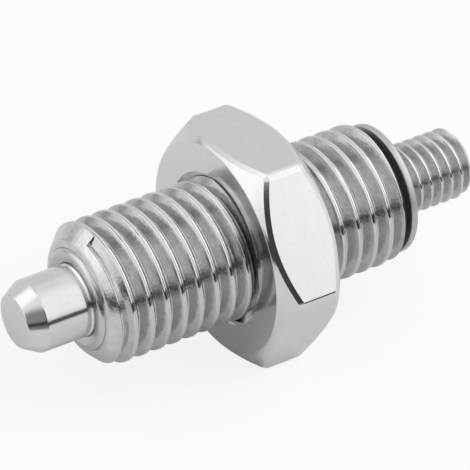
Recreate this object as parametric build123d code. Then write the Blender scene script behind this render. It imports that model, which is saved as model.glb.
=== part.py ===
from build123d import *
from math import cos, pi, radians, sin, tan
import os

# A stainless index plunger: a fully threaded sleeve with a thin locknut on it,
# a spring-loaded locking pin in front, and a threaded pull stud behind.
# All sizes are in millimetres. The axis of the plunger is the X axis, and the
# pin points to -X. The origin is on the axis, in the plane of the locknut's
# seating face. +Z is up, and one flat of the nut faces straight down.

# Main screw thread of the sleeve, M12 x 1.5
THREAD_RADIUS = 6.0
THREAD_PITCH = 1.5

# Sleeve
SLEEVE_LENGTH = 27.7
SEAT_TO_FRONT = 12.8
FRONT_CHAMFER = 1.25
REAR_CHAMFER = 0.45
BORE_STEP = 0.3
REAR_WALL = 3.0

# Guide bush, pressed into the mouth of the sleeve
BUSH_DEPTH = 4.0
BUSH_WALL = 1.22
BUSH_PROUD = 0.35
BUSH_EDGE_CHAMFER = 0.3
BUSH_MOUTH_CHAMFER = 0.25

# Locking pin
PIN_RADIUS = 3.0
PIN_REACH = 5.65
STROKE = 6.0
NOSE_ANGLE = 30.0
NOSE_FLAT_RADIUS = 2.2
RELIEF_WIDTH = 0.7
RELIEF_DEPTH = 0.2
RELIEF_SHOWING = 0.2
COLLAR_LENGTH = 2.0
SHANK_RADIUS = 2.25
TAIL_RADIUS = 1.5
TAIL_LENGTH = 5.0

# Return spring, with one closed coil at each end beside the active ones
WIRE_RADIUS = 0.35
WIRE_FLAT_COUNT = 8
ACTIVE_COILS = 4.5

# Pull stud, M6 x 1, with the disc at its root
STUD_RADIUS = 3.0
STUD_LENGTH = 7.3
STUD_CHAMFER = 0.45
DISC_RADIUS = 5.5
DISC_THICKNESS = 0.6
DISC_GAP = 0.45
DISC_EDGE = 0.12

# Locknut, thin pattern, 19 mm nominal across flats
NUT_THICKNESS = 6.0
NUT_ACROSS_FLATS = 18.6
NUT_CORNER_ROUNDING = 0.8
NUT_FACE_INSET = 0.3
NUT_CHAMFER_ANGLE = 38.0
NUT_COUNTERSINK = 0.3

# Clearances between pieces, all on the radius unless named otherwise
PIN_CLEARANCE = 0.03
COLLAR_CLEARANCE = 0.1
SHANK_CLEARANCE = 0.05
THREAD_CLEARANCE = 0.03
SPRING_SIDE_CLEARANCE = 0.15
STOP_GAP = 0.05
SPRING_END_GAP = 0.05

# Bore of the sleeve, wide in front for the bush and narrower for the spring
BUSH_BORE_RADIUS = PIN_RADIUS + PIN_CLEARANCE
FRONT_BORE_RADIUS = BUSH_BORE_RADIUS + BUSH_WALL
SPRING_BORE_RADIUS = FRONT_BORE_RADIUS - BORE_STEP
SPRING_MEAN_RADIUS = SPRING_BORE_RADIUS - SPRING_SIDE_CLEARANCE - WIRE_RADIUS

# Places along the axis that more than one piece uses
SLEEVE_FRONT_X = -SEAT_TO_FRONT
SLEEVE_REAR_X = SLEEVE_FRONT_X + SLEEVE_LENGTH
BUSH_FRONT_X = SLEEVE_FRONT_X - BUSH_PROUD
BUSH_REAR_X = SLEEVE_FRONT_X + BUSH_DEPTH
COLLAR_FRONT_X = BUSH_REAR_X + STOP_GAP
COLLAR_REAR_X = COLLAR_FRONT_X + COLLAR_LENGTH
BORE_STEP_X = COLLAR_REAR_X + STROKE + STOP_GAP
REAR_WALL_X = SLEEVE_REAR_X - REAR_WALL
PIN_TIP_X = SLEEVE_FRONT_X - PIN_REACH
DISC_FRONT_X = SLEEVE_REAR_X + DISC_GAP
DISC_REAR_X = DISC_FRONT_X + DISC_THICKNESS
STUD_END_X = DISC_REAR_X + STUD_LENGTH

# Half of the depth from crest to pitch line of a metric thread
PITCH_LINE_RADIUS = THREAD_RADIUS - 3 ** 0.5 * 3 / 16 * THREAD_PITCH


def turned(*points):
    """Turns a closed outline of (x, radius) points about the X axis."""
    outline = make_face(Polyline(*points, close=True))
    return revolve(outline, axis=Axis.X, revolution_arc=360)


def threaded_sleeve():
    """The sleeve: chamfered at both ends, with a stepped bore from the front.

    The screw thread is drawn as its major cylinder. Under the locknut, where
    the two threads mesh, it is drawn at the pitch line, as the nut is.
    """
    outside = turned(
        (SLEEVE_FRONT_X, 0),
        (SLEEVE_FRONT_X, THREAD_RADIUS - FRONT_CHAMFER),
        (SLEEVE_FRONT_X + FRONT_CHAMFER, THREAD_RADIUS),
        (0, THREAD_RADIUS),
        (0, PITCH_LINE_RADIUS),
        (NUT_THICKNESS, PITCH_LINE_RADIUS),
        (NUT_THICKNESS, THREAD_RADIUS),
        (SLEEVE_REAR_X - REAR_CHAMFER, THREAD_RADIUS),
        (SLEEVE_REAR_X, THREAD_RADIUS - REAR_CHAMFER),
        (SLEEVE_REAR_X, 0),
    )
    shank_bore_radius = SHANK_RADIUS + SHANK_CLEARANCE
    bore = turned(
        (SLEEVE_FRONT_X, 0),
        (SLEEVE_FRONT_X, FRONT_BORE_RADIUS),
        (BORE_STEP_X, FRONT_BORE_RADIUS),
        (BORE_STEP_X, SPRING_BORE_RADIUS),
        (REAR_WALL_X, SPRING_BORE_RADIUS),
        (REAR_WALL_X, shank_bore_radius),
        (SLEEVE_REAR_X, shank_bore_radius),
        (SLEEVE_REAR_X, 0),
    )
    return outside - bore


def guide_bush():
    """The bush that guides the pin and holds the mechanism in the sleeve."""
    return turned(
        (BUSH_FRONT_X, BUSH_BORE_RADIUS + BUSH_MOUTH_CHAMFER),
        (BUSH_FRONT_X, FRONT_BORE_RADIUS - BUSH_EDGE_CHAMFER),
        (BUSH_FRONT_X + BUSH_EDGE_CHAMFER, FRONT_BORE_RADIUS),
        (BUSH_REAR_X, FRONT_BORE_RADIUS),
        (BUSH_REAR_X, BUSH_BORE_RADIUS),
        (BUSH_FRONT_X + BUSH_MOUTH_CHAMFER, BUSH_BORE_RADIUS),
    )


def locking_pin():
    """The pin: tapered nose, relief, guided stretch, collar, shank and tail.

    The collar stops against the bush in front and against the step in the
    sleeve's bore behind. The tail carries the pull stud.
    """
    nose_length = (PIN_RADIUS - NOSE_FLAT_RADIUS) / tan(radians(NOSE_ANGLE))
    relief_x = BUSH_FRONT_X - RELIEF_SHOWING
    collar_radius = FRONT_BORE_RADIUS - COLLAR_CLEARANCE
    return turned(
        (PIN_TIP_X, 0),
        (PIN_TIP_X, NOSE_FLAT_RADIUS),
        (PIN_TIP_X + nose_length, PIN_RADIUS),
        (relief_x, PIN_RADIUS),
        (relief_x, PIN_RADIUS - RELIEF_DEPTH),
        (relief_x + RELIEF_WIDTH, PIN_RADIUS - RELIEF_DEPTH),
        (relief_x + RELIEF_WIDTH, PIN_RADIUS),
        (COLLAR_FRONT_X, PIN_RADIUS),
        (COLLAR_FRONT_X, collar_radius),
        (COLLAR_REAR_X, collar_radius),
        (COLLAR_REAR_X, SHANK_RADIUS),
        (DISC_FRONT_X, SHANK_RADIUS),
        (DISC_FRONT_X, TAIL_RADIUS),
        (DISC_FRONT_X + TAIL_LENGTH, TAIL_RADIUS),
        (DISC_FRONT_X + TAIL_LENGTH, 0),
    )


def return_spring():
    """The compression spring: an open helix between two closed end coils.

    The round wire is drawn with flats along it. The ends are ground square.
    """
    start_x = COLLAR_REAR_X + SPRING_END_GAP
    end_x = REAR_WALL_X - SPRING_END_GAP
    wire = 2 * WIRE_RADIUS
    closed_pitch = 1.02 * wire
    path_start_x = start_x + 0.3 * wire
    path_end_x = end_x - 0.3 * wire
    open_rise = path_end_x - path_start_x - 2 * closed_pitch
    open_pitch = open_rise / ACTIVE_COILS
    steps_per_turn = 12
    turns = ACTIVE_COILS + 2
    count = round(turns * steps_per_turn)
    points = []
    for step in range(count + 1):
        turn = turns * step / count
        if turn <= 1:
            rise = closed_pitch * turn
        elif turn >= turns - 1:
            rise = closed_pitch + open_rise + closed_pitch * (turn - turns + 1)
        else:
            rise = closed_pitch + open_pitch * (turn - 1)
        angle = 2 * pi * turn
        y = SPRING_MEAN_RADIUS * cos(angle)
        z = SPRING_MEAN_RADIUS * sin(angle)
        points.append((path_start_x + rise, y, z))
    path = Spline(*points)
    section = Plane(origin=path @ 0, z_dir=path % 0) * RegularPolygon(WIRE_RADIUS, WIRE_FLAT_COUNT)
    coil = sweep(section, path=path, is_frenet=True)
    span = end_x - start_x
    ground = Pos((start_x + end_x) / 2, 0, 0) * Rot(0, 90, 0) * Cylinder(2 * SPRING_MEAN_RADIUS, span)
    return coil & ground


def pull_stud():
    """The rear stud: a thin disc, a threaded shank and a bore for the tail.

    The screw thread is drawn as its major cylinder.
    """
    stud = turned(
        (DISC_REAR_X, 0),
        (DISC_REAR_X, STUD_RADIUS),
        (STUD_END_X - STUD_CHAMFER, STUD_RADIUS),
        (STUD_END_X, STUD_RADIUS - STUD_CHAMFER),
        (STUD_END_X, 0),
    )
    disc = turned(
        (DISC_FRONT_X, 0),
        (DISC_FRONT_X, DISC_RADIUS - DISC_EDGE),
        (DISC_FRONT_X + DISC_EDGE, DISC_RADIUS),
        (DISC_REAR_X - DISC_EDGE, DISC_RADIUS),
        (DISC_REAR_X, DISC_RADIUS - DISC_EDGE),
        (DISC_REAR_X, 0),
    )
    bore = turned(
        (DISC_FRONT_X, 0),
        (DISC_FRONT_X, TAIL_RADIUS),
        (DISC_FRONT_X + TAIL_LENGTH, TAIL_RADIUS),
        (DISC_FRONT_X + TAIL_LENGTH, 0),
    )
    return stud + disc - bore


def locknut():
    """The thin hexagon nut, chamfered and countersunk on both faces."""
    half_flats = NUT_ACROSS_FLATS / 2
    outline = RegularPolygon(half_flats, 6, major_radius=False, rotation=30)
    rounded = fillet(outline.vertices(), NUT_CORNER_ROUNDING)
    prism = Rot(0, 90, 0) * extrude(rounded, amount=NUT_THICKNESS)
    face_radius = half_flats - NUT_FACE_INSET
    corner_radius = half_flats / cos(radians(30))
    fall = (corner_radius - face_radius) * tan(radians(NUT_CHAMFER_ANGLE))
    envelope = turned(
        (0, 0),
        (0, face_radius),
        (fall, corner_radius),
        (NUT_THICKNESS - fall, corner_radius),
        (NUT_THICKNESS, face_radius),
        (NUT_THICKNESS, 0),
    )
    bore_radius = PITCH_LINE_RADIUS + THREAD_CLEARANCE
    mouth_radius = THREAD_RADIUS + NUT_COUNTERSINK
    depth = mouth_radius - bore_radius
    bore = turned(
        (0, 0),
        (0, mouth_radius),
        (depth, bore_radius),
        (NUT_THICKNESS - depth, bore_radius),
        (NUT_THICKNESS, mouth_radius),
        (NUT_THICKNESS, 0),
    )
    return (prism & envelope) - bore


PIECES = {
    "threaded_sleeve": threaded_sleeve,
    "guide_bush": guide_bush,
    "locking_pin": locking_pin,
    "return_spring": return_spring,
    "pull_stud": pull_stud,
    "locknut": locknut,
}

os.makedirs("parts", exist_ok=True)
for node, make in PIECES.items():
    export_step(make(), f"parts/{node}.step")
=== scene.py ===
"""Dresses the index plunger: cuts its threads, rounds its edges, finishes its steel and lights it."""

import logging
import math
from dataclasses import dataclass
from enum import Enum

import bpy
from bpy.types import Material, Modifier, NodeSocket, NodeTree, Object
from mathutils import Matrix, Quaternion, Vector


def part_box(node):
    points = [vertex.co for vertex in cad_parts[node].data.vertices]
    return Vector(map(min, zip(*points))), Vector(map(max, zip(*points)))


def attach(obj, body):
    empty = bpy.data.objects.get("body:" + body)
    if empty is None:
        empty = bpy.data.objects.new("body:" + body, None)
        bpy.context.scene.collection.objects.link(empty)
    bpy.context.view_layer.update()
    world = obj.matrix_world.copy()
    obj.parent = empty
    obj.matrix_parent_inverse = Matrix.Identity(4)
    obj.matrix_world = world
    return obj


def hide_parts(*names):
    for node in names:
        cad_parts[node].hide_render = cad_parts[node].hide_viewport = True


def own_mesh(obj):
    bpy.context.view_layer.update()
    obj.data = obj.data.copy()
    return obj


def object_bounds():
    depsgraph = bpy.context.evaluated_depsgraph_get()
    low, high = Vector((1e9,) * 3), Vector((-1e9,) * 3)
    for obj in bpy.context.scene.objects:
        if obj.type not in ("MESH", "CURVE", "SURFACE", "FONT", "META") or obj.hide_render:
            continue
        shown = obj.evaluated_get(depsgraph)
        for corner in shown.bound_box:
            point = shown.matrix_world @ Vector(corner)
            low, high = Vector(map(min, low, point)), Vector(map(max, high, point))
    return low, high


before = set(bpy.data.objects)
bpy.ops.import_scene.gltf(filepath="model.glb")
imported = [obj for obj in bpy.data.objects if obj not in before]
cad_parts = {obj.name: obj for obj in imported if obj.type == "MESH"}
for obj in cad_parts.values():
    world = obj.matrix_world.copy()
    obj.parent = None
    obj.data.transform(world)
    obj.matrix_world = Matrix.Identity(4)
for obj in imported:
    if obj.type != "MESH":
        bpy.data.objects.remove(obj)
CAD_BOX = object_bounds()

MM = 0.001
"""One millimetre, in metres."""

TINY = 0.0005 * MM
"""Vertices closer than this are one vertex."""

ARC_CHORDS = 4
"""The chords of a rounded corner in an outline."""

HALF_FLANK = math.radians(30.0)
"""Half the angle between the flanks of a metric thread."""

HALF_SIDE = math.radians(30.0)
"""Half the angle that one side of a hexagon spans."""

FINE_LAYERS = 0.6
"""How strong each finer layer of the noise is, next to the one before."""

PATCH_SIZE = 0.3
"""The scale of the patches of tone, as a share of the grain's."""

SPECKLE = 0.5
"""How much of the tone's change comes from the grain itself."""

UNEVEN = 0.8
"""How much the grain changes the roughness."""

CREST_BLEND = 0.1 * MM
# How far below a crest its polish and its painted highlight start, and how far above it the rim starts.
"""How far below a crest its polish starts, and how far above it the rim starts."""

CREST_POLISH = 0.5
"""How much smoother a crest is."""

POLISH_AND_PAINTED_HIGHLIGHT = 0.22
# How much brighter a crest or a turned end is: on a crest partly polish and partly a painted highlight,
# on the end a painted highlight; the grooves stay darker as painted shade.
"""How much brighter a crest or a turned end is."""

END_BLEND = 0.2 * MM
"""Over what length a turned end fades into the rest."""

STEEL_TINT = (1.0, 0.998, 0.99)
"""The tint of the steel, a trace warmer than grey."""

STEEL_INPUTS = (
    "Tone",
    "Roughness",
    "Grain Scale",
    "Grain",
    "Mottle",
    "Turning Scale",
    "Turning",
    "Crest Radius",
    "Crest",
    "Rim",
    "End",
)
"""The inputs of the node group that the steel finishes share."""

log = logging.getLogger("index_plunger")


class Body(Enum):
    """The three rigid bodies that the pieces ride on."""

    SLEEVE = "sleeve"
    PLUNGER = "plunger"
    LOCKNUT = "locknut"


@dataclass(frozen=True)
class Corner:
    """One corner of an outline: its place along the axis, its radius and its rounding."""

    x: float
    radius: float
    rounding: float = 0.0


def deselect() -> None:
    """Leaves object mode with nothing selected."""
    if bpy.context.object is not None and bpy.context.object.mode != "OBJECT":
        bpy.ops.object.mode_set(mode="OBJECT")
    bpy.ops.object.select_all(action="DESELECT")


def choose(piece: Object) -> None:
    """Makes a piece the only selected and the active object.

    Args:
        piece: The object.
    """
    deselect()
    piece.select_set(True)
    bpy.context.view_layer.objects.active = piece


def apply(piece: Object, modifier: Modifier) -> None:
    """Applies one modifier to its piece."""
    choose(piece)
    bpy.ops.object.modifier_apply(modifier=modifier.name)


def settle(piece: Object) -> None:
    """Moves the place and the turn of an object into its mesh."""
    choose(piece)
    bpy.ops.object.transform_apply(location=True, rotation=True, scale=True)


def edit(piece: Object, action: str) -> None:
    """Opens a mesh for editing, with all or nothing of it selected.

    Args:
        piece: The mesh.
        action: SELECT or DESELECT.
    """
    choose(piece)
    bpy.ops.object.mode_set(mode="EDIT")
    bpy.ops.mesh.select_all(action=action)


def draw_point(name: str, place: Vector) -> Object:
    """Adds a mesh of one selected vertex, open for editing, that lines are extruded from.

    Args:
        name: The name of the new object.
        place: Where the vertex stands.

    Returns:
        The new object.
    """
    deselect()
    bpy.ops.mesh.primitive_plane_add(size=MM, location=(0.0, 0.0, 0.0))
    point = bpy.context.object
    point.name = name
    edit(point, "SELECT")
    bpy.ops.mesh.merge(type="CENTER")
    bpy.ops.transform.translate(value=place)
    return point


def draw_outline(name: str, corners: list[Corner], closed: bool) -> Object:
    """Draws half of a section in the XZ plane and rounds its corners.

    Args:
        name: The name of the new object.
        corners: The corners of the outline, in order.
        closed: Whether the last corner is joined to the first.

    Returns:
        An object of edges only.
    """
    outline = draw_point(name, Vector((corners[0].x, 0.0, corners[0].radius)))
    route = corners + corners[:1] if closed else corners
    for here, there in zip(route, route[1:]):
        step = (there.x - here.x, 0.0, there.radius - here.radius)
        bpy.ops.mesh.extrude_vertices_move(TRANSFORM_OT_translate={"value": step})
    bpy.ops.mesh.select_all(action="SELECT")
    bpy.ops.mesh.remove_doubles(threshold=TINY)
    bpy.ops.object.mode_set(mode="OBJECT")
    for corner in corners:
        if corner.rounding > 0.0:
            round_corner(outline, corner)
    return outline


def round_corner(outline: Object, corner: Corner) -> None:
    """Turns one corner of an outline into an arc.

    Args:
        outline: The object of edges.
        corner: The corner, whose rounding is the length that the arc takes from each side.
    """
    place = Vector((corner.x, 0.0, corner.radius))
    edit(outline, "DESELECT")
    bpy.ops.object.mode_set(mode="OBJECT")
    nearest = min(outline.data.vertices, key=lambda vertex: (vertex.co - place).length)
    nearest.select = True
    bpy.ops.object.mode_set(mode="EDIT")
    bpy.ops.mesh.bevel(affect="VERTICES", offset=corner.rounding, segments=ARC_CHORDS)
    bpy.ops.object.mode_set(mode="OBJECT")


def turn(
    name: str,
    corners: list[Corner],
    closed: bool = True,
    steps: int = 128,
    pitch: float = 0.0,
    turns: int = 1,
    share: float = 1.0,
) -> Object:
    """Turns an outline about the X axis, or winds it along a right-hand screw.

    Args:
        name: The name of the new object.
        corners: The corners of the outline.
        closed: Whether the outline closes on itself.
        steps: The steps in one turn.
        pitch: The travel of one turn, or zero for a plain turned piece.
        turns: The number of turns.
        share: The share of a turn, for a piece that goes only part of the way round.

    Returns:
        The turned mesh.
    """
    piece = draw_outline(name, corners, closed)
    winding = piece.modifiers.new("winding", "SCREW")
    winding.axis = "X"
    winding.angle = math.tau * share
    winding.steps = round(steps * share)
    winding.render_steps = round(steps * share)
    winding.screw_offset = pitch * share
    winding.iterations = turns
    winding.use_merge_vertices = True
    winding.merge_threshold = TINY
    apply(piece, winding)
    tidy(piece)
    return piece


def tidy(piece: Object) -> None:
    """Merges the doubles of a mesh and points its faces outwards.

    Args:
        piece: The mesh.
    """
    edit(piece, "SELECT")
    bpy.ops.mesh.remove_doubles(threshold=TINY)
    bpy.ops.mesh.dissolve_degenerate(threshold=TINY)
    bpy.ops.mesh.normals_make_consistent(inside=False)
    bpy.ops.mesh.select_all(action="DESELECT")
    bpy.ops.object.mode_set(mode="OBJECT")


def saw_off(piece: Object, x: float, keep_rear: bool) -> None:
    """Cuts a mesh square across the axis and closes the cut.

    Args:
        piece: The mesh.
        x: Where it is cut.
        keep_rear: Whether the half towards +X is the one that stays.
    """
    edit(piece, "SELECT")
    bpy.ops.mesh.bisect(
        plane_co=(x, 0.0, 0.0),
        plane_no=(1.0, 0.0, 0.0),
        use_fill=True,
        clear_inner=keep_rear,
        clear_outer=not keep_rear,
        threshold=TINY / 10.0,
    )
    bpy.ops.mesh.select_all(action="DESELECT")
    bpy.ops.object.mode_set(mode="OBJECT")


def carve(piece: Object, tool: Object, operation: str) -> None:
    """Cuts or joins a mesh with a tool, and removes the tool.

    Args:
        piece: The mesh that is changed.
        tool: The mesh that it is cut or joined with.
        operation: DIFFERENCE, INTERSECT or UNION.
    """
    carving = piece.modifiers.new("carving", "BOOLEAN")
    carving.operation = operation
    carving.solver = "EXACT"
    carving.object = tool
    apply(piece, carving)
    bpy.data.objects.remove(tool)
    tidy(piece)


def smooth(piece: Object, angle: float) -> None:
    """Shades a mesh smooth.

    Large faces keep their own normals, so that a small rounding doesn't bend their shading.

    Args:
        piece: The mesh.
        angle: The bend in degrees above which an edge stays sharp.
    """
    choose(piece)
    bpy.ops.object.shade_smooth_by_angle(angle=math.radians(angle))
    even = piece.modifiers.new("even_normals", "WEIGHTED_NORMAL")
    even.keep_sharp = True
    apply(piece, even)


@dataclass(frozen=True)
class ScrewThread:
    """A right-hand metric thread with flanks at 60 degrees."""

    radius: float
    pitch: float
    crest_land: float
    root_land: float
    crest_rounding: float
    root_rounding: float
    crest_x: float
    """Where a crest stands on the +Z side."""

    seam: float = 0.0
    """The depth of the fine seam that rolling leaves along the crest, and a tap doesn't."""

    steps: int = 96
    spare_turns: int = 2
    """The turns wound past each end, which are sawn off."""

    def depth(self) -> float:
        """The depth from crest to root."""
        flank_width = (self.pitch - self.crest_land - self.root_land) / 2.0
        return flank_width / math.tan(HALF_FLANK)

    def rod(self, name: str, start: float, end: float, swell: float = 0.0) -> Object:
        """Winds a solid threaded rod.

        Args:
            name: The name of the new object.
            start: Its end towards -X.
            end: Its end towards +X.
            swell: How far its whole surface stands out, for a tap that leaves room.

        Returns:
            A closed mesh.
        """
        crest = self.radius + swell
        root = crest - self.depth()
        half_crest = self.crest_land / 2.0 + swell * math.tan(HALF_FLANK)
        half_flank = self.depth() * math.tan(HALF_FLANK)
        turns = math.ceil((end - start) / self.pitch) + 2 * self.spare_turns
        below = math.ceil((self.crest_x - start) / self.pitch) + self.spare_turns
        middle = self.crest_x - below * self.pitch
        foot = half_crest + half_flank
        seam = [
            Corner(middle, crest),
            Corner(middle + self.seam, crest - self.seam),
            Corner(middle + 2.0 * self.seam, crest),
        ]
        corners = [
            Corner(middle - self.pitch / 2.0, root),
            Corner(middle - foot, root, self.root_rounding),
            Corner(middle - half_crest, crest, self.crest_rounding),
            *(seam if self.seam > swell else []),
            Corner(middle + half_crest, crest, self.crest_rounding),
            Corner(middle + foot, root, self.root_rounding),
            Corner(middle + self.pitch / 2.0, root),
        ]
        rod = turn(name, corners, closed=False, steps=self.steps, pitch=self.pitch, turns=turns)
        saw_off(rod, start, keep_rear=True)
        saw_off(rod, end, keep_rear=False)
        tidy(rod)
        return rod


@dataclass(frozen=True)
class Wiring:
    """Adds small nodes to a node tree and links them."""

    tree: NodeTree

    def feed(self, socket: NodeSocket, value: NodeSocket | float) -> None:
        """Links a value to a socket, or writes a number into it.

        Args:
            socket: The socket.
            value: Another node's output, or a number.
        """
        if isinstance(value, NodeSocket):
            self.tree.links.new(value, socket)
        else:
            socket.default_value = value

    def math(self, operation: str, *values: NodeSocket | float) -> NodeSocket:
        """Adds a Math node.

        Args:
            operation: Its operation.
            values: Its inputs, in order.

        Returns:
            Its output.
        """
        node = self.tree.nodes.new("ShaderNodeMath")
        node.operation = operation
        for socket, value in zip(node.inputs, values):
            self.feed(socket, value)
        return node.outputs["Value"]

    def fade(
        self,
        value: NodeSocket,
        clear: NodeSocket | float,
        full: NodeSocket | float,
    ) -> NodeSocket:
        """Adds a smooth step.

        Args:
            value: What it reads.
            clear: Where it starts, at 0.
            full: Where it ends, at 1.

        Returns:
            Its output.
        """
        node = self.tree.nodes.new("ShaderNodeMapRange")
        node.interpolation_type = "SMOOTHSTEP"
        self.feed(node.inputs["Value"], value)
        self.feed(node.inputs["From Min"], clear)
        self.feed(node.inputs["From Max"], full)
        return node.outputs["Result"]

    def split(self, vector: NodeSocket) -> tuple[NodeSocket, ...]:
        """Adds a Separate XYZ node.

        Args:
            vector: The vector that it reads.

        Returns:
            The vector's X, Y and Z.
        """
        node = self.tree.nodes.new("ShaderNodeSeparateXYZ")
        self.feed(node.inputs["Vector"], vector)
        return tuple(node.outputs)

    def length(self, *sides: NodeSocket) -> NodeSocket:
        """Adds the nodes for the root of the sum of squares.

        Args:
            sides: What is squared.

        Returns:
            The root.
        """
        total, *squares = [self.math("MULTIPLY", side, side) for side in sides]
        for square in squares:
            total = self.math("ADD", total, square)
        return self.math("SQRT", total)

    def noise(self, place: NodeSocket, scale: NodeSocket | float, detail: float) -> NodeSocket:
        """Adds a noise that is even about zero, between a half below and a half above.

        Args:
            place: The coordinates that it reads.
            scale: Its scale.
            detail: Its number of finer layers.

        Returns:
            Its output.
        """
        node = self.tree.nodes.new("ShaderNodeTexNoise")
        node.inputs["Detail"].default_value = detail
        node.inputs["Roughness"].default_value = FINE_LAYERS
        self.feed(node.inputs["Vector"], place)
        self.feed(node.inputs["Scale"], scale)
        return self.math("SUBTRACT", node.outputs["Fac"], 0.5)


def surface_group() -> NodeTree:
    """Builds the node group for grained and turned steel.

    Its grain is even in all directions. Its turning marks run round the axis. Its
    mottle is a patchy change of tone. Threads are smoother on their crests, at the
    crest radius, and brighter there, partly from polish and partly as a painted
    highlight; a turned end in front of the thread is brighter as a painted highlight.
    Both leave the grooves darker, as painted shade. A rim beyond the thread is rougher.

    Returns:
        The node group, which every steel finish uses with its own values.
    """
    group = bpy.data.node_groups.new("steel_surface", "ShaderNodeTree")
    for name in STEEL_INPUTS:
        group.interface.new_socket(name, in_out="INPUT", socket_type="NodeSocketFloat")
    group.interface.new_socket("Color", in_out="OUTPUT", socket_type="NodeSocketColor")
    group.interface.new_socket("Roughness", in_out="OUTPUT", socket_type="NodeSocketFloat")
    group.interface.new_socket("Height", in_out="OUTPUT", socket_type="NodeSocketFloat")
    given = group.nodes.new("NodeGroupInput").outputs
    result = group.nodes.new("NodeGroupOutput").inputs
    wiring = Wiring(group)

    place = group.nodes.new("ShaderNodeTexCoord").outputs["Object"]
    along, across, upward = wiring.split(place)
    radius = wiring.length(across, upward)

    grain = wiring.noise(place, given["Grain Scale"], 4.0)
    patches = wiring.noise(place, wiring.math("MULTIPLY", given["Grain Scale"], PATCH_SIZE), 3.0)
    rings = group.nodes.new("ShaderNodeCombineXYZ")
    wiring.feed(rings.inputs["X"], wiring.math("MULTIPLY", along, given["Turning Scale"]))
    wiring.feed(rings.inputs["Y"], wiring.math("MULTIPLY", radius, given["Turning Scale"]))
    turning = wiring.noise(rings.outputs["Vector"], 1.0, 3.0)

    inside = wiring.math("SUBTRACT", given["Crest Radius"], CREST_BLEND)
    outside = wiring.math("ADD", given["Crest Radius"], CREST_BLEND)
    beyond = wiring.fade(radius, outside, wiring.math("ADD", outside, CREST_BLEND))
    on_thread = wiring.math("MULTIPLY", wiring.math("SUBTRACT", 1.0, beyond), given["Crest"])
    crest = wiring.math("MULTIPLY", wiring.fade(radius, inside, given["Crest Radius"]), on_thread)
    calm = wiring.math("SUBTRACT", 1.0, crest)
    grain_height = wiring.math("MULTIPLY", wiring.math("MULTIPLY", grain, given["Grain"]), calm)
    turning_height = wiring.math("MULTIPLY", turning, given["Turning"])
    wiring.feed(result["Height"], wiring.math("ADD", grain_height, turning_height))

    uneven = wiring.math("MULTIPLY_ADD", grain, UNEVEN, 1.0)
    smoother = wiring.math("MULTIPLY_ADD", crest, -CREST_POLISH, 1.0)
    rough = wiring.math("MULTIPLY", given["Roughness"], uneven)
    rim = wiring.math("MULTIPLY", beyond, given["Rim"])
    wiring.feed(result["Roughness"], wiring.math("ADD", wiring.math("MULTIPLY", rough, smoother), rim))

    speckle = wiring.math("MULTIPLY_ADD", grain, SPECKLE, patches)
    mottle = wiring.math("MULTIPLY_ADD", wiring.math("MULTIPLY", speckle, calm), given["Mottle"], 1.0)
    # Crests and the turned end get a lighter tone: on the crests partly polish and partly a painted
    # highlight, on the end a painted highlight, so that the grooves stay darker as painted shade.
    end = wiring.fade(along, wiring.math("ADD", given["End"], END_BLEND), given["End"])
    brighter = wiring.math("MULTIPLY_ADD", wiring.math("MAXIMUM", crest, end), POLISH_AND_PAINTED_HIGHLIGHT, 1.0)
    shade = wiring.math("MULTIPLY", wiring.math("MULTIPLY", given["Tone"], mottle), brighter)
    tint = group.nodes.new("ShaderNodeCombineColor")
    for channel, share in zip(tint.inputs, STEEL_TINT):
        wiring.feed(channel, wiring.math("MULTIPLY", shade, share))
    group.links.new(tint.outputs["Color"], result["Color"])
    return group


@dataclass(frozen=True)
class Steel:
    """A finish of bare stainless steel."""

    slot: str
    tone: float
    roughness: float
    grain: float = 0.0
    """The height of the grain, in metres."""

    grain_scale: float = 4000.0
    """Grains in a metre."""

    mottle: float = 0.1
    """How patchy its tone is."""

    turning: float = 0.0
    """The height of the turning marks, in metres."""

    turning_scale: float = 6000.0
    """Turning marks in a metre."""

    crest_radius: float = 1.0
    """The radius of a thread's crests, or a radius past everything where there is no thread."""

    crest: float = 0.0
    # How much smoother and brighter the crests are; the brightness is partly polish and partly a painted
    # highlight.
    """How much smoother and brighter the crests are."""

    rim: float = 0.0
    """How much rougher everything beyond the crests is."""

    end: float = -1.0
    # Where the brighter turned end stops, or a place in front of everything. Its brightness is a painted
    # highlight.
    """Where the brighter turned end stops, or a place in front of everything."""

    def material(self, surface: NodeTree) -> Material:
        """Builds the node material.

        Args:
            surface: The node group that the steel finishes share.

        Returns:
            The material, named after its slot.
        """
        material = bpy.data.materials.new(self.slot)
        material.use_nodes = True
        nodes = material.node_tree.nodes
        links = material.node_tree.links
        shader = nodes["Principled BSDF"]
        shader.inputs["Metallic"].default_value = 1.0
        group = nodes.new("ShaderNodeGroup")
        group.node_tree = surface
        values = (
            self.tone,
            self.roughness,
            self.grain_scale,
            self.grain,
            self.mottle,
            self.turning_scale,
            self.turning,
            self.crest_radius,
            self.crest,
            self.rim,
            self.end,
        )
        for name, value in zip(STEEL_INPUTS, values):
            group.inputs[name].default_value = value
        links.new(group.outputs["Color"], shader.inputs["Base Color"])
        links.new(group.outputs["Roughness"], shader.inputs["Roughness"])
        bump = nodes.new("ShaderNodeBump")
        bump.inputs["Distance"].default_value = 1.0
        links.new(group.outputs["Height"], bump.inputs["Height"])
        links.new(bump.outputs["Normal"], shader.inputs["Normal"])
        return material


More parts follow.
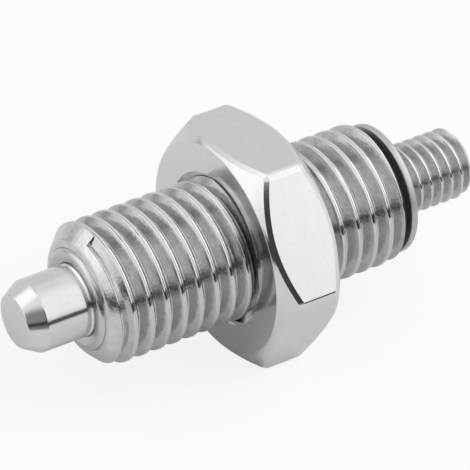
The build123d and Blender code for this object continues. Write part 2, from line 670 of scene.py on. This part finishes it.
@dataclass(frozen=True)
class Piece:
    """A piece of the plunger, which stands for one plain node."""

    node: str
    body: Body
    finish: Steel
    sharp_above: float = 40.0
    """The bend in degrees above which an edge stays sharp."""

    def shape(self) -> Object:
        """Builds the mesh, each kind of piece in its own way."""
        raise NotImplementedError

    def dress(self, piece: Object, surface: NodeTree) -> None:
        """Gives the mesh its one material."""
        piece.data.materials.clear()
        piece.data.materials.append(self.finish.material(surface))

    def make(self, surface: NodeTree) -> Object:
        """Builds and dresses the piece, hides the node that it stands for, and hangs it on the body that
        it moves with.

        Args:
            surface: The node group that the steel finishes share.

        Returns:
            The finished piece.
        """
        piece = self.shape()
        self.dress(piece, surface)
        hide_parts(self.node)
        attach(piece, self.body.value)
        return piece


@dataclass(frozen=True)
class Sleeve(Piece):
    """The fully threaded sleeve with its stepped bore."""

    sharp_above: float = 35.0
    thread: ScrewThread = ScrewThread(
        radius=5.93 * MM,
        pitch=1.5 * MM,
        crest_land=0.34 * MM,
        root_land=0.14 * MM,
        crest_rounding=0.06 * MM,
        root_rounding=0.12 * MM,
        crest_x=-9.82 * MM,
        seam=0.025 * MM,
    )
    start_angle: float = 97.0
    """Where the first groove starts, in degrees from +Y towards +Z."""

    start_pitches: float = 1.5
    """How many pitches in front of the measured crest that groove stands."""

    start_share: float = 0.28
    """How much of a turn is filled up ahead of its start."""

    start_depth: float = 1.4 * MM
    """How deep the filling goes below the crest."""

    start_reach: float = 0.46
    """How far it goes past the middle of the groove, in pitches."""

    crest_gap: float = 0.01 * MM
    """How far it stays below the crest."""

    front_chamfer: float = 1.25 * MM
    front_rounding: float = 0.35 * MM
    rear_chamfer: float = 0.55 * MM
    bore_step: float = 0.3 * MM
    bore_step_x: float = -0.7 * MM
    rear_wall: float = 3.0 * MM
    shank_bore_radius: float = 2.3 * MM
    overshoot: float = 0.5 * MM

    def shape(self) -> Object:
        """Winds the thread and cuts it to the chamfered, bored sleeve.

        Returns:
            The sleeve.
        """
        low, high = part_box("threaded_sleeve")
        front, rear = low.x, high.x
        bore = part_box("guide_bush")[1].z
        radius = self.thread.radius
        narrow_bore = bore - self.bore_step
        wide = self.overshoot
        outline = [
            Corner(front, bore),
            Corner(front, radius - self.front_chamfer, self.front_rounding),
            Corner(front + self.front_chamfer + wide, radius + wide),
            Corner(rear - self.rear_chamfer - wide, radius + wide),
            Corner(rear, radius - self.rear_chamfer),
            Corner(rear, self.shank_bore_radius),
            Corner(rear - self.rear_wall, self.shank_bore_radius),
            Corner(rear - self.rear_wall, narrow_bore),
            Corner(self.bore_step_x, narrow_bore),
            Corner(self.bore_step_x, bore),
        ]
        blank = turn("sleeve_blank", outline)
        sleeve = self.thread.rod("sleeve", front - wide, rear + wide)
        carve(sleeve, self.thread_start(front), "UNION")
        carve(sleeve, blank, "INTERSECT")
        smooth(sleeve, self.sharp_above)
        return sleeve

    def thread_start(self, front: float) -> Object:
        """Winds the band that fills the first groove, up to the blunt start of the thread.

        Args:
            front: The sleeve's front face.

        Returns:
            A closed mesh.
        """
        thread = self.thread
        foot_angle = self.start_angle - 360.0 * self.start_share
        turned = (foot_angle - 90.0) / 360.0 - self.start_pitches
        groove_x = thread.crest_x + turned * thread.pitch
        low = thread.radius - self.start_depth
        high = thread.radius - self.crest_gap
        ahead = front - 2.0 * self.overshoot
        behind = groove_x + self.start_reach * thread.pitch
        band = turn(
            "thread_start",
            [Corner(ahead, low), Corner(ahead, high), Corner(behind, high), Corner(behind, low)],
            steps=thread.steps,
            pitch=thread.pitch,
            share=self.start_share,
        )
        edit(band, "SELECT")
        bpy.ops.mesh.fill_holes(sides=4)
        bpy.ops.object.mode_set(mode="OBJECT")
        band.rotation_euler = (math.radians(foot_angle - 90.0), 0.0, 0.0)
        settle(band)
        tidy(band)
        return band


@dataclass(frozen=True)
class GuideBush(Piece):
    """The bush in the mouth of the sleeve."""

    bore_radius: float = 3.03 * MM
    mouth_radius: float = 3.72 * MM
    mouth_depth: float = 0.2 * MM
    mouth_edge: float = 0.08 * MM
    rounding: float = 0.5 * MM
    face_rounding: float = 0.04 * MM
    seat_rounding: float = 0.03 * MM

    def shape(self) -> Object:
        """Turns the bush, with a shallow flared mouth and its outer edge rounded.

        Returns:
            The bush.
        """
        low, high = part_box("guide_bush")
        seat = low.x + self.mouth_depth
        outline = [
            Corner(low.x, self.mouth_radius, self.face_rounding),
            Corner(low.x, high.z, self.rounding),
            Corner(high.x, high.z),
            Corner(high.x, self.bore_radius),
            Corner(seat + self.mouth_edge, self.bore_radius),
            Corner(seat, self.bore_radius + self.mouth_edge, self.seat_rounding),
        ]
        bush = turn("bush", outline)
        smooth(bush, self.sharp_above)
        return bush


@dataclass(frozen=True)
class LockingPin(Piece):
    """The locking pin with its nose, relief, collar, shank and tail."""

    radius: float = 3.0 * MM
    nose_flat_radius: float = 2.2 * MM
    nose_angle: float = 30.0
    relief_width: float = 0.45 * MM
    relief_depth: float = 0.15 * MM
    relief_showing: float = 0.34 * MM
    collar_front: float = -8.75 * MM
    collar_length: float = 2.0 * MM
    shank_radius: float = 2.25 * MM
    tail_radius: float = 1.5 * MM
    edge: float = 0.08 * MM
    relief_front_edge: float = 0.04 * MM
    relief_rear_edge: float = 0.02 * MM

    def shape(self) -> Object:
        """Turns the pin from its nose to its tail.

        Returns:
            The pin.
        """
        low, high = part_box("locking_pin")
        tip = low.x
        nose_length = (self.radius - self.nose_flat_radius) / math.tan(math.radians(self.nose_angle))
        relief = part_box("guide_bush")[0].x - self.relief_showing
        waist = self.radius - self.relief_depth
        collar_rear = self.collar_front + self.collar_length
        disc_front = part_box("pull_stud")[0].x
        outline = [
            Corner(tip, 0.0),
            Corner(tip, self.nose_flat_radius, self.edge),
            Corner(tip + nose_length, self.radius, self.edge),
            Corner(relief, self.radius, self.relief_front_edge),
            Corner(relief, waist),
            Corner(relief + self.relief_width - self.relief_depth, waist),
            Corner(relief + self.relief_width, self.radius, self.relief_rear_edge),
            Corner(self.collar_front, self.radius),
            Corner(self.collar_front, high.z, self.edge),
            Corner(collar_rear, high.z, self.edge),
            Corner(collar_rear, self.shank_radius),
            Corner(disc_front, self.shank_radius),
            Corner(disc_front, self.tail_radius),
            Corner(high.x, self.tail_radius),
            Corner(high.x, 0.0),
        ]
        pin = turn("pin", outline, closed=False)
        smooth(pin, self.sharp_above)
        return pin


@dataclass(frozen=True)
class PullStud(Piece):
    """The disc and the threaded stud behind it."""

    sharp_above: float = 35.0
    thread: ScrewThread = ScrewThread(
        radius=2.97 * MM,
        pitch=1.0 * MM,
        crest_land=0.16 * MM,
        root_land=0.14 * MM,
        crest_rounding=0.04 * MM,
        root_rounding=0.08 * MM,
        crest_x=16.87 * MM,
        steps=72,
    )
    disc_thickness: float = 0.6 * MM
    disc_edge: float = 0.12 * MM
    end_chamfer: float = 0.45 * MM
    tail_radius: float = 1.5 * MM
    overshoot: float = 0.3 * MM

    def shape(self) -> Object:
        """Winds the stud's thread and joins it to its disc.

        Returns:
            The stud with its disc.
        """
        low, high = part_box("pull_stud")
        tail_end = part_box("locking_pin")[1].x
        disc_rear = low.x + self.disc_thickness
        radius = self.thread.radius
        wide = self.overshoot
        inside_disc = disc_rear - self.disc_thickness / 2.0
        shank = [
            Corner(inside_disc, 0.0),
            Corner(inside_disc, radius + wide),
            Corner(high.x - self.end_chamfer - wide, radius + wide),
            Corner(high.x, radius - self.end_chamfer),
            Corner(high.x, 0.0),
        ]
        blank = turn("stud_blank", shank, closed=False)
        stud = self.thread.rod("stud", low.x - self.thread.pitch, high.x + wide)
        carve(stud, blank, "INTERSECT")
        disc = [
            Corner(low.x, 0.0),
            Corner(low.x, high.z, self.disc_edge),
            Corner(disc_rear, high.z, self.disc_edge),
            Corner(disc_rear, 0.0),
        ]
        carve(stud, turn("disc", disc, closed=False), "UNION")
        hole = [
            Corner(low.x - wide, 0.0),
            Corner(low.x - wide, self.tail_radius),
            Corner(tail_end, self.tail_radius),
            Corner(tail_end, 0.0),
        ]
        carve(stud, turn("tail_hole", hole, closed=False), "DIFFERENCE")
        smooth(stud, self.sharp_above)
        return stud


@dataclass(frozen=True)
class Locknut(Piece):
    """The thin hexagon nut with its chamfers, countersinks and inside thread."""

    sharp_above: float = 24.0
    corner_rounding: float = 0.8 * MM
    corner_chords: int = 10
    face_inset: float = 0.36 * MM
    chamfer_angle: float = 38.0
    chamfer_steps: int = 96
    countersink: float = 0.5 * MM
    bore_radius: float = 5.2 * MM
    room: float = 0.03 * MM
    """How far its thread clears the sleeve's."""

    facet: float = 0.25 * MM
    """How far the facets between flats and chamfers reach into both."""

    facet_above: float = 44.0
    """The bend in degrees above which an edge gets a facet."""

    face_edge: float = 0.06 * MM
    overshoot: float = 0.5 * MM

    def shape(self) -> Object:
        """Shapes the hexagon, chamfers and bores it, and taps it.

        Returns:
            The nut.
        """
        low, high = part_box("locknut")
        half_flats = high.z
        thickness = high.x - low.x
        corner_radius = half_flats / math.cos(HALF_SIDE)
        deselect()
        bpy.ops.mesh.primitive_cylinder_add(
            vertices=6,
            radius=corner_radius,
            depth=thickness,
            location=((low.x + high.x) / 2.0, 0.0, 0.0),
            rotation=(0.0, math.radians(90.0), 0.0),
        )
        nut = bpy.context.object
        nut.name = "nut"
        settle(nut)
        self.round_corners(nut)
        face_radius = half_flats - self.face_inset
        slant = math.tan(math.radians(self.chamfer_angle))
        fall = (corner_radius - face_radius) * slant
        wide = self.overshoot
        slope = wide / slant
        envelope = [
            Corner(low.x, 0.0),
            Corner(low.x, face_radius, self.face_edge),
            Corner(low.x + fall + wide, corner_radius + slope),
            Corner(high.x - fall - wide, corner_radius + slope),
            Corner(high.x, face_radius, self.face_edge),
            Corner(high.x, 0.0),
        ]
        carve(nut, turn("nut_envelope", envelope, closed=False, steps=self.chamfer_steps), "INTERSECT")
        self.cut_facets(nut)
        self.bore(nut, low.x, high.x)
        smooth(nut, self.sharp_above)
        return nut

    def round_corners(self, nut: Object) -> None:
        """Rounds the six long edges of the hexagon.

        Args:
            nut: The nut's blank.
        """
        edit(nut, "DESELECT")
        bpy.ops.mesh.select_mode(type="EDGE")
        bpy.ops.object.mode_set(mode="OBJECT")
        places = nut.data.vertices
        for edge in nut.data.edges:
            # Only the long edges run along the axis.
            run = places[edge.vertices[1]].co - places[edge.vertices[0]].co
            edge.select = abs(run.x) > 0.9 * run.length
        bpy.ops.object.mode_set(mode="EDIT")
        reach = self.corner_rounding * math.tan(HALF_SIDE)
        bpy.ops.mesh.bevel(offset=reach, segments=self.corner_chords)
        bpy.ops.mesh.select_mode(type="VERT")
        bpy.ops.object.mode_set(mode="OBJECT")

    def cut_facets(self, nut: Object) -> None:
        """Breaks the edges between the flats and the chamfers with a narrow facet.

        Args:
            nut: The nut's blank.
        """
        facets = nut.modifiers.new("facets", "BEVEL")
        facets.width = self.facet
        facets.segments = 1
        facets.limit_method = "ANGLE"
        facets.angle_limit = math.radians(self.facet_above)
        facets.use_clamp_overlap = False
        facets.loop_slide = False
        apply(nut, facets)
        tidy(nut)

    def bore(self, nut: Object, front: float, rear: float) -> None:
        """Bores, countersinks and taps the nut.

        Args:
            nut: The nut's blank.
            front: Its face towards -X.
            rear: Its face towards +X.
        """
        thread = Sleeve.thread
        mouth = thread.radius + self.countersink
        depth = mouth - self.bore_radius
        wide = self.overshoot
        hole = [
            Corner(front - wide, 0.0),
            Corner(front - wide, mouth + wide),
            Corner(front + depth, self.bore_radius),
            Corner(rear - depth, self.bore_radius),
            Corner(rear + wide, mouth + wide),
            Corner(rear + wide, 0.0),
        ]
        carve(nut, turn("nut_hole", hole, closed=False), "DIFFERENCE")
        tap = thread.rod("tap", front - wide, rear + wide, swell=self.room)
        carve(nut, tap, "DIFFERENCE")


@dataclass(frozen=True)
class ReturnSpring(Piece):
    """The compression spring between the collar and the rear wall of the sleeve."""

    wire_radius: float = 0.35 * MM
    mean_radius: float = 3.45 * MM
    active_coils: float = 4.5
    closed_rise: float = 1.02
    """The rise of a closed coil, in wire diameters."""

    ground_off: float = 0.2
    """How far the ends are ground into the wire, in wire diameters."""

    anchor: tuple[float, float, float] = (11.85 * MM, 0.0, 0.0)
    # Its fixed end, at the rear wall of the bore. Nothing in this script uses it.
    """Its fixed end, at the rear wall of the bore."""

    squashed: float = 0.676
    # The share of its length that is left when the pin is drawn back. Nothing in this script uses it.
    """The share of its length that is left when the pin is drawn back."""

    wire_sides: int = 16
    coil_steps: int = 48

    def shape(self) -> Object:
        """Winds the open coils between two closed ones, and grinds the ends.

        Returns:
            The spring.
        """
        low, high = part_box("return_spring")
        wire = 2.0 * self.wire_radius
        closed_pitch = self.closed_rise * wire
        start = low.x + (0.5 - self.ground_off) * wire
        end = high.x - (0.5 - self.ground_off) * wire
        coils = self.active_coils
        open_pitch = (end - start - 2.0 * closed_pitch) / coils
        spring = self.wind("spring", start, closed_pitch, 1.0, 0.0)
        middle = self.wind("open_coils", start + closed_pitch, open_pitch, coils, 0.0)
        last = self.wind("last_coil", end - closed_pitch, closed_pitch, 1.0, coils)
        choose(spring)
        middle.select_set(True)
        last.select_set(True)
        bpy.ops.object.join()
        tidy(spring)
        saw_off(spring, low.x, keep_rear=True)
        saw_off(spring, high.x, keep_rear=False)
        tidy(spring)
        smooth(spring, self.sharp_above)
        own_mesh(spring)
        return spring

    def wind(self, name: str, start: float, pitch: float, coils: float, turned: float) -> Object:
        """Winds round wire about the axis.

        Args:
            name: The name of the new object.
            start: Where the middle of the wire starts.
            pitch: The travel of one coil.
            coils: The number of coils.
            turned: The coils already wound before this stretch.

        Returns:
            The wire, open at both ends.
        """
        deselect()
        bpy.ops.mesh.primitive_circle_add(
            vertices=self.wire_sides,
            radius=self.wire_radius,
            location=(start, 0.0, self.mean_radius),
            rotation=(math.radians(90.0), 0.0, 0.0),
        )
        wire = bpy.context.object
        wire.name = name
        settle(wire)
        winding = wire.modifiers.new("winding", "SCREW")
        winding.axis = "X"
        winding.angle = math.tau * coils
        winding.steps = round(self.coil_steps * coils)
        winding.render_steps = round(self.coil_steps * coils)
        winding.screw_offset = pitch * coils
        apply(wire, winding)
        wire.rotation_euler = (math.tau * turned, 0.0, 0.0)
        settle(wire)
        return wire


@dataclass(frozen=True)
class Card:
    """A card bent round the object, which shows in its steel alone.

    Its angles are in degrees as seen from the object, azimuths from +X towards +Y. Its
    lower edge may stand nearer than its upper edge.
    """

    name: str
    azimuth: tuple[float, float]
    elevation: tuple[float, float]
    glow: float
    side_fade: float = 1.0
    """How far its sides fade out, in degrees."""

    lower_fade: float = 1.0
    upper_fade: float = 1.0
    near: float = 0.9
    """How far off its lower edge stands, in metres."""

    far: float = 0.9
    """How far off its upper edge stands, in metres."""

    cone: tuple[float, float] | None = None
    """The angles from +X between which it fades in, where it isn't shown all over."""

    step: float = 4.0
    """The angle of one of its flat strips."""

    def build(self) -> None:
        """Bends the card round the object at its distance."""
        low = self.near * math.tan(math.radians(self.elevation[0]))
        high = self.far * math.tan(math.radians(self.elevation[1]))
        start, stop = (math.radians(angle) for angle in self.azimuth)
        outward = Vector((math.cos(stop), math.sin(stop), 0.0))
        foot = outward * self.near + Vector((0.0, 0.0, low))
        top = outward * self.far + Vector((0.0, 0.0, high))
        card = draw_point(self.name, foot)
        bpy.ops.mesh.extrude_vertices_move(TRANSFORM_OT_translate={"value": top - foot})
        bpy.ops.mesh.select_all(action="SELECT")
        bpy.ops.mesh.spin(
            steps=max(2, round(math.degrees(stop - start) / self.step)),
            angle=stop - start,
            center=(0.0, 0.0, 0.0),
            axis=(0.0, 0.0, 1.0),
        )
        bpy.ops.object.mode_set(mode="OBJECT")
        card.data.materials.append(self.material())
        card.visible_camera = False
        card.visible_diffuse = False
        card.visible_shadow = False

    def material(self) -> Material:
        """Builds an even emission that fades out towards the card's edges.

        Returns:
            The material, named after the card.
        """
        material = bpy.data.materials.new(self.name)
        material.use_nodes = True
        tree = material.node_tree
        shader = tree.nodes["Principled BSDF"]
        shader.inputs["Base Color"].default_value = (0.0, 0.0, 0.0, 1.0)
        shader.inputs["Specular IOR Level"].default_value = 0.0
        shader.inputs["Emission Color"].default_value = (1.0, 1.0, 1.0, 1.0)
        shader.inputs["Emission Strength"].default_value = self.glow
        wiring = Wiring(tree)
        place = tree.nodes.new("ShaderNodeTexCoord").outputs["Object"]
        facing = tree.nodes.new("ShaderNodeVectorRotate")
        facing.rotation_type = "Z_AXIS"
        facing.inputs["Angle"].default_value = -math.radians(sum(self.azimuth) / 2.0)
        wiring.feed(facing.inputs["Vector"], place)
        ahead, aside, above = wiring.split(facing.outputs["Vector"])
        turned = wiring.math("ABSOLUTE", wiring.math("ARCTAN2", aside, ahead))
        raised = wiring.math("ARCTAN2", above, wiring.length(ahead, aside))
        half = (self.azimuth[1] - self.azimuth[0]) / 2.0
        low, high = self.elevation
        sides = wiring.fade(turned, math.radians(half), math.radians(half - self.side_fade))
        bottom = wiring.fade(raised, math.radians(low), math.radians(low + self.lower_fade))
        top = wiring.fade(raised, math.radians(high), math.radians(high - self.upper_fade))
        shown = wiring.math("MULTIPLY", wiring.math("MULTIPLY", sides, bottom), top)
        if self.cone is not None:
            along_x = wiring.split(place)[0]
            distance = wiring.length(ahead, aside, above)
            from_x = wiring.math("ARCCOSINE", wiring.math("DIVIDE", along_x, distance))
            clear, full = (math.radians(angle) for angle in self.cone)
            shown = wiring.math("MULTIPLY", shown, wiring.fade(from_x, clear, full))
        wiring.feed(shader.inputs["Alpha"], shown)
        return material


@dataclass(frozen=True)
class Softbox:
    """A square lamp that faces the object and doesn't show in its steel."""

    name: str
    azimuth: float
    elevation: float
    distance: float
    size: float
    radiance: float

    def build(self) -> None:
        """Hangs the lamp at the power that gives its surface the radiance."""
        lamp = bpy.data.lights.new(self.name, "AREA")
        lamp.shape = "SQUARE"
        lamp.size = self.size
        lamp.energy = self.radiance * math.pi * self.size ** 2
        softbox = bpy.data.objects.new(self.name, lamp)
        bpy.context.scene.collection.objects.link(softbox)
        softbox.visible_glossy = False
        azimuth = math.radians(self.azimuth)
        elevation = math.radians(self.elevation)
        level = math.cos(elevation)
        towards = Vector((level * math.cos(azimuth), level * math.sin(azimuth), math.sin(elevation)))
        softbox.location = towards * self.distance
        softbox.rotation_euler = (-towards).to_track_quat("-Z", "Y").to_euler()


def background_share(tree: NodeTree, in_view: float, in_steel: float) -> NodeSocket:
    """Adds nodes that say how far the plain white background replaces the lit surface.

    Args:
        tree: The node tree of the floor or the world.
        in_view: The share for rays from the camera.
        in_steel: The share for glossy and transmission rays.

    Returns:
        A socket with the share, which is 0 for the rays that light the object.
    """
    path = tree.nodes.new("ShaderNodeLightPath")
    wiring = Wiring(tree)
    mirrored = wiring.math("MAXIMUM", path.outputs["Is Glossy Ray"], path.outputs["Is Transmission Ray"])
    seen = wiring.math("MULTIPLY", path.outputs["Is Camera Ray"], in_view)
    return wiring.math("MAXIMUM", seen, wiring.math("MULTIPLY", mirrored, in_steel))


@dataclass(frozen=True)
class Studio:
    """The floor, the lamp, the cards, the world and the camera."""

    lens: float = 301.85
    sensor: float = 36.0
    camera_place: tuple[float, float, float] = (-138.61 * MM, -218.42 * MM, 177.92 * MM)
    camera_direction: tuple[float, float, float] = (0.4468, 0.6945, -0.5639)
    camera_roll: float = -0.19
    floor_radius: float = 0.8
    floor_sides: int = 96
    floor_tone: float = 0.9
    floor_whiteness: float = 0.84
    """The share of the floor that is seen as plain white, so that its shadow stays light."""

    floor_whiteness_in_steel: float = 0.0
    """The same share as the steel shows it, where the floor's own light and shadow count."""

    room_light: float = 0.62
    softbox: Softbox = Softbox(
        "softbox", azimuth=-45.0, elevation=45.0, distance=0.8, size=0.6, radiance=2.6,
    )
    cards: tuple[Card, ...] = (
        Card(
            "front_card", azimuth=(-100.0, 10.0), elevation=(8.0, 75.0), glow=1.12,
            side_fade=20.0, lower_fade=12.0, upper_fade=14.0,
        ),
        Card(
            "left_card", azimuth=(104.0, 198.0), elevation=(8.0, 78.0), glow=1.4,
            side_fade=28.0, lower_fade=20.0, upper_fade=12.0,
        ),
        Card(
            "rear_card", azimuth=(22.0, 130.0), elevation=(-0.5, 58.0), glow=0.78,
            side_fade=18.0, upper_fade=24.0, near=0.8, far=0.8,
        ),
        Card(
            "shade_card", azimuth=(20.0, 68.0), elevation=(40.0, 76.0), glow=0.3, side_fade=6.0,
            near=0.7, far=0.7, cone=(68.5, 71.0),
        ),
        Card(
            "end_card", azimuth=(-60.0, 10.0), elevation=(14.0, 64.0), glow=1.9,
            lower_fade=10.0, near=0.8, far=0.8, cone=(62.0, 60.6),
        ),
        Card(
            "low_card", azimuth=(112.0, 128.0), elevation=(-8.0, 14.0), glow=0.45,
            side_fade=5.0, upper_fade=5.0, near=0.1, far=0.1,
        ),
        Card(
            "camera_card", azimuth=(-162.0, -96.0), elevation=(0.0, 52.0), glow=0.28,
            side_fade=16.0, upper_fade=22.0, near=0.65, far=0.65,
        ),
        Card(
            "lens_card", azimuth=(-128.0, -101.0), elevation=(-4.0, 44.0), glow=0.055,
            side_fade=4.0, lower_fade=4.0, upper_fade=8.0, near=0.1, far=0.1,
        ),
        Card(
            "dark_skirt", azimuth=(-178.0, -40.0), elevation=(-8.5, 8.0), glow=0.03,
            side_fade=4.0, lower_fade=2.0, upper_fade=6.0, near=0.06, far=0.6,
        ),
        Card(
            "camera_skirt", azimuth=(-150.0, -96.0), elevation=(-12.0, 4.0), glow=0.2,
            side_fade=10.0, lower_fade=2.0, near=0.042, far=0.55,
        ),
    )

    def build(self) -> None:
        """Sets up everything round the object."""
        self.add_floor()
        self.add_world()
        self.softbox.build()
        for card in self.cards:
            card.build()
        self.add_camera()
        bpy.context.scene.view_settings.view_transform = "Standard"

    def add_floor(self) -> None:
        """Lays a plain pale disc under the object."""
        deselect()
        level = CAD_BOX[0][2]
        bpy.ops.mesh.primitive_circle_add(
            vertices=self.floor_sides,
            radius=self.floor_radius,
            fill_type="NGON",
            location=(0.0, 0.0, level),
        )
        floor = bpy.context.object
        floor.name = "floor"
        settle(floor)
        material = bpy.data.materials.new("floor")
        material.use_nodes = True
        nodes = material.node_tree.nodes
        links = material.node_tree.links
        shader = nodes["Principled BSDF"]
        tone = self.floor_tone
        shader.inputs["Base Color"].default_value = (tone, tone, tone, 1.0)
        shader.inputs["Roughness"].default_value = 1.0
        white = nodes.new("ShaderNodeEmission")
        mix = nodes.new("ShaderNodeMixShader")
        share = background_share(material.node_tree, self.floor_whiteness, self.floor_whiteness_in_steel)
        links.new(share, mix.inputs["Fac"])
        links.new(shader.outputs["BSDF"], mix.inputs[1])
        links.new(white.outputs["Emission"], mix.inputs[2])
        links.new(mix.outputs["Shader"], nodes["Material Output"].inputs["Surface"])
        floor.data.materials.append(material)

    def add_world(self) -> None:
        """Gives the room a plain light, and a white background."""
        world = bpy.data.worlds.new("studio")
        bpy.context.scene.world = world
        world.use_nodes = True
        nodes = world.node_tree.nodes
        links = world.node_tree.links
        background = nodes["Background"]
        background.inputs["Color"].default_value = (1.0, 1.0, 1.0, 1.0)
        strength = nodes.new("ShaderNodeMix")
        strength.inputs["A"].default_value = self.room_light
        strength.inputs["B"].default_value = 1.0
        links.new(background_share(world.node_tree, 1.0, 1.0), strength.inputs["Factor"])
        links.new(strength.outputs["Result"], background.inputs["Strength"])

    def add_camera(self) -> None:
        """Places the camera at the photograph's viewpoint."""
        data = bpy.data.cameras.new("camera")
        data.lens = self.lens
        data.sensor_width = self.sensor
        data.clip_start = 0.01
        camera = bpy.data.objects.new("camera", data)
        bpy.context.scene.collection.objects.link(camera)
        camera.location = self.camera_place
        aim = Vector(self.camera_direction).to_track_quat("-Z", "Y")
        roll = Quaternion((0.0, 0.0, 1.0), math.radians(self.camera_roll))
        camera.rotation_euler = (aim @ roll).to_euler()
        bpy.context.scene.camera = camera


# Its crests and its turned front end are lighter in tone: the crests partly from polish and partly as a
# painted highlight, the end as a painted highlight, with the grooves left darker as painted shade.
SLEEVE_STEEL = Steel(
    "sleeve_steel", tone=0.52, roughness=0.16, grain=0.02 * MM, grain_scale=3500.0, mottle=0.5,
    turning=0.005 * MM, crest_radius=5.92 * MM, crest=1.0, end=-11.6 * MM,
)
BUSH_STEEL = Steel(
    "bush_steel", tone=0.58, roughness=0.2, grain=0.004 * MM, mottle=0.2, turning=0.012 * MM,
)
PIN_STEEL = Steel(
    "pin_steel", tone=0.7, roughness=0.15, grain=0.002 * MM, mottle=0.15, turning=0.003 * MM,
)
# Its crests are lighter in tone, partly from polish and partly as a painted highlight, with the grooves
# left darker as painted shade.
STUD_STEEL = Steel(
    "stud_steel", tone=0.52, roughness=0.22, grain=0.012 * MM, mottle=0.4, turning=0.005 * MM,
    crest_radius=2.96 * MM, crest=1.0, rim=0.2,
)
NUT_STEEL = Steel(
    "nut_steel", tone=0.72, roughness=0.13, grain=0.002 * MM, grain_scale=5000.0, mottle=0.1,
)
SPRING_STEEL = Steel("spring_steel", tone=0.52, roughness=0.25, grain=0.001 * MM)


def main() -> None:
    """Builds and dresses every piece, then the studio."""
    logging.basicConfig(level=logging.INFO, format="%(name)s: %(message)s")
    surface = surface_group()
    pieces = [
        Sleeve("threaded_sleeve", Body.SLEEVE, SLEEVE_STEEL),
        GuideBush("guide_bush", Body.SLEEVE, BUSH_STEEL),
        LockingPin("locking_pin", Body.PLUNGER, PIN_STEEL),
        PullStud("pull_stud", Body.PLUNGER, STUD_STEEL),
        Locknut("locknut", Body.LOCKNUT, NUT_STEEL),
        ReturnSpring("return_spring", Body.SLEEVE, SPRING_STEEL),
    ]
    for piece in pieces:
        made = piece.make(surface)
        triangles = sum(len(face.vertices) - 2 for face in made.data.polygons)
        log.info("%s replaces %s with %d triangles", made.name, piece.node, triangles)
    Studio().build()


if __name__ == "__main__":
    main()
